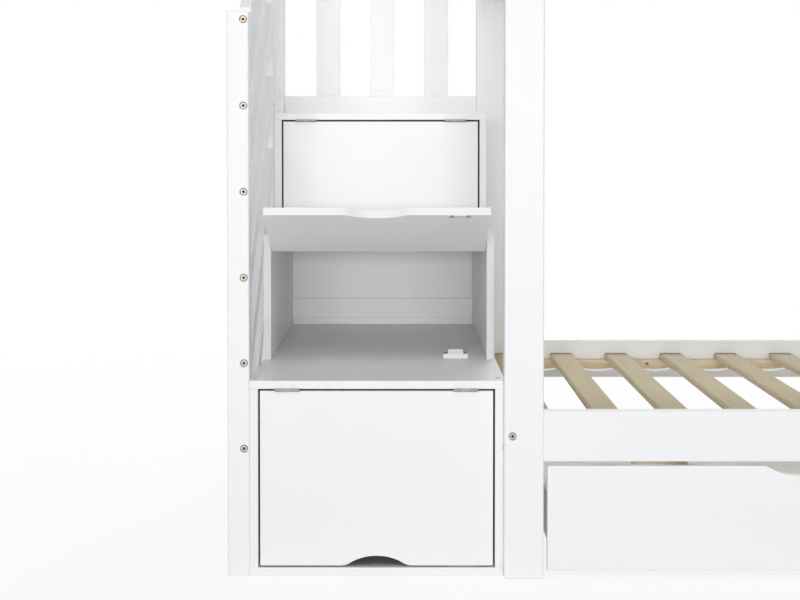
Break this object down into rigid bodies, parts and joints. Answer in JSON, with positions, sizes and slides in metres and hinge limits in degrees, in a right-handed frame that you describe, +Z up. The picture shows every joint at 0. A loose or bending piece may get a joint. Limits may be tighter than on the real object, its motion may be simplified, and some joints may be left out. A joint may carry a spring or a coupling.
{
  "type": "bunk bed with storage stairs",
  "caption": "White bunk bed with a stair tower at its left end, flap-door compartments in the steps, barred guards, slatted berths and drawers on casters below.",
  "frame": {"origin": "middle of the footprint at floor level", "axes": "+X along the bed away from the stairs, +Y from the open front to the back, +Z up"},
  "size_m": [2.483, 1.0774, 1.588],
  "materials": {
    "white_lacquer": "satin white lacquer on board and solid wood",
    "slat_plywood": "bare beige plywood",
    "raw_pine": "bare pine with a few knots",
    "steel": "bright zinc-plated",
    "bolt_metal": "dark bronze-coloured plating",
    "white_plastic": "white moulded",
    "webbing": "white woven strap",
    "wheel_plastic": "black moulded"
  },
  "bodies": {
    "frame": {"bed_bolts": "bolt_metal", "bed_end_rails": "white_lacquer", "bed_post_back_left": "white_lacquer", "bed_post_back_right": "white_lacquer", "bed_post_front_left": "white_lacquer", "bed_post_front_right": "white_lacquer", "guard_back_rails": "white_lacquer", "guard_back_slats": "white_lacquer", "guard_bolts": "bolt_metal", "guard_corner_post": "white_lacquer", "guard_front_post": "white_lacquer", "guard_middle_post": "white_lacquer", "guard_side_rails": "white_lacquer", "guard_side_slats": "white_lacquer", "guard_slanted_slats": "white_lacquer", "headboard_rail": "white_lacquer", "headboard_slats": "white_lacquer", "lower_back_rail": "white_lacquer", "lower_front_rail": "white_lacquer", "lower_slats": "slat_plywood", "slat_cleats": "raw_pine", "slat_webbing": "webbing", "stair_back_battens": "white_lacquer", "stair_back_panels": "white_lacquer", "stair_base_board": "white_lacquer", "stair_catches": "white_plastic", "stair_hinge_leaves": "steel", "stair_hinge_pins": "steel", "stair_left_boards": "white_lacquer", "stair_right_boards": "white_lacquer", "stair_tread_1": "white_lacquer", "stair_tread_2": "white_lacquer", "stair_tread_3": "white_lacquer", "stair_tread_screws": "bolt_metal", "upper_back_rail": "white_lacquer", "upper_entry_post": "white_lacquer", "upper_front_rail": "white_lacquer", "upper_guard_rails": "white_lacquer", "upper_guard_slats": "white_lacquer", "upper_slats": "slat_plywood"},
    "door_1": {"stair_door_1": "white_lacquer", "stair_door_1_fittings": "steel"},
    "door_2": {"stair_door_2": "white_lacquer", "stair_door_2_fittings": "steel"},
    "door_3": {"stair_door_3": "white_lacquer", "stair_door_3_fittings": "steel"},
    "drawer_1": {"drawer_1_front": "white_lacquer", "drawer_1_bottom": "white_lacquer", "drawer_1_walls": "white_lacquer", "drawer_1_block": "raw_pine", "drawer_1_casters": "steel"},
    "drawer_1_front_wheels": {"drawer_1_front_wheels": "wheel_plastic"},
    "drawer_1_back_wheels": {"drawer_1_back_wheels": "wheel_plastic"},
    "drawer_2": {"drawer_2_front": "white_lacquer", "drawer_2_bottom": "white_lacquer", "drawer_2_walls": "white_lacquer", "drawer_2_block": "raw_pine", "drawer_2_casters": "steel"},
    "drawer_2_front_wheels": {"drawer_2_front_wheels": "wheel_plastic"},
    "drawer_2_back_wheels": {"drawer_2_back_wheels": "wheel_plastic"}
  },
  "joints": [
    {"name": "door_1_hinge", "type": "hinge", "parent": "frame", "child": "door_1", "pos_m": [-0.9595, -0.5183, 0.33725], "axis": [-1, 0, 0], "range_deg": [0, 111]},
    {"name": "door_2_hinge", "type": "hinge", "parent": "frame", "child": "door_2", "pos_m": [-0.9595, -0.2353, 0.58525], "axis": [-1, 0, 0], "range_deg": [-111, 0]},
    {"name": "door_3_hinge", "type": "hinge", "parent": "frame", "child": "door_3", "pos_m": [-0.9595, 0.0477, 0.83325], "axis": [-1, 0, 0], "range_deg": [0, 111]},
    {"name": "drawer_1_slide", "type": "slide", "parent": "frame", "child": "drawer_1", "axis": [0, -1, 0], "range_m": [0, 0.6]},
    {"name": "drawer_1_front_roll", "type": "hinge", "parent": "drawer_1", "child": "drawer_1_front_wheels", "pos_m": [-0.2, -0.4384, 0.024], "axis": [1, 0, 0], "continuous": true},
    {"name": "drawer_1_back_roll", "type": "hinge", "parent": "drawer_1", "child": "drawer_1_back_wheels", "pos_m": [-0.2, 0.3016, 0.024], "axis": [1, 0, 0], "continuous": true},
    {"name": "drawer_2_slide", "type": "slide", "parent": "frame", "child": "drawer_2", "axis": [0, -1, 0], "range_m": [0, 0.6]},
    {"name": "drawer_2_front_roll", "type": "hinge", "parent": "drawer_2", "child": "drawer_2_front_wheels", "pos_m": [0.711, -0.4384, 0.024], "axis": [1, 0, 0], "continuous": true},
    {"name": "drawer_2_back_roll", "type": "hinge", "parent": "drawer_2", "child": "drawer_2_back_wheels", "pos_m": [0.711, 0.3016, 0.024], "axis": [1, 0, 0], "continuous": true}
  ],
  "couplings": [
    {"joint": "drawer_1_front_roll", "follows": "drawer_1_slide", "rad_per_m": 41.667},
    {"joint": "drawer_1_back_roll", "follows": "drawer_1_slide", "rad_per_m": 41.667},
    {"joint": "drawer_2_front_roll", "follows": "drawer_2_slide", "rad_per_m": 41.667},
    {"joint": "drawer_2_back_roll", "follows": "drawer_2_slide", "rad_per_m": 41.667}
  ]
}
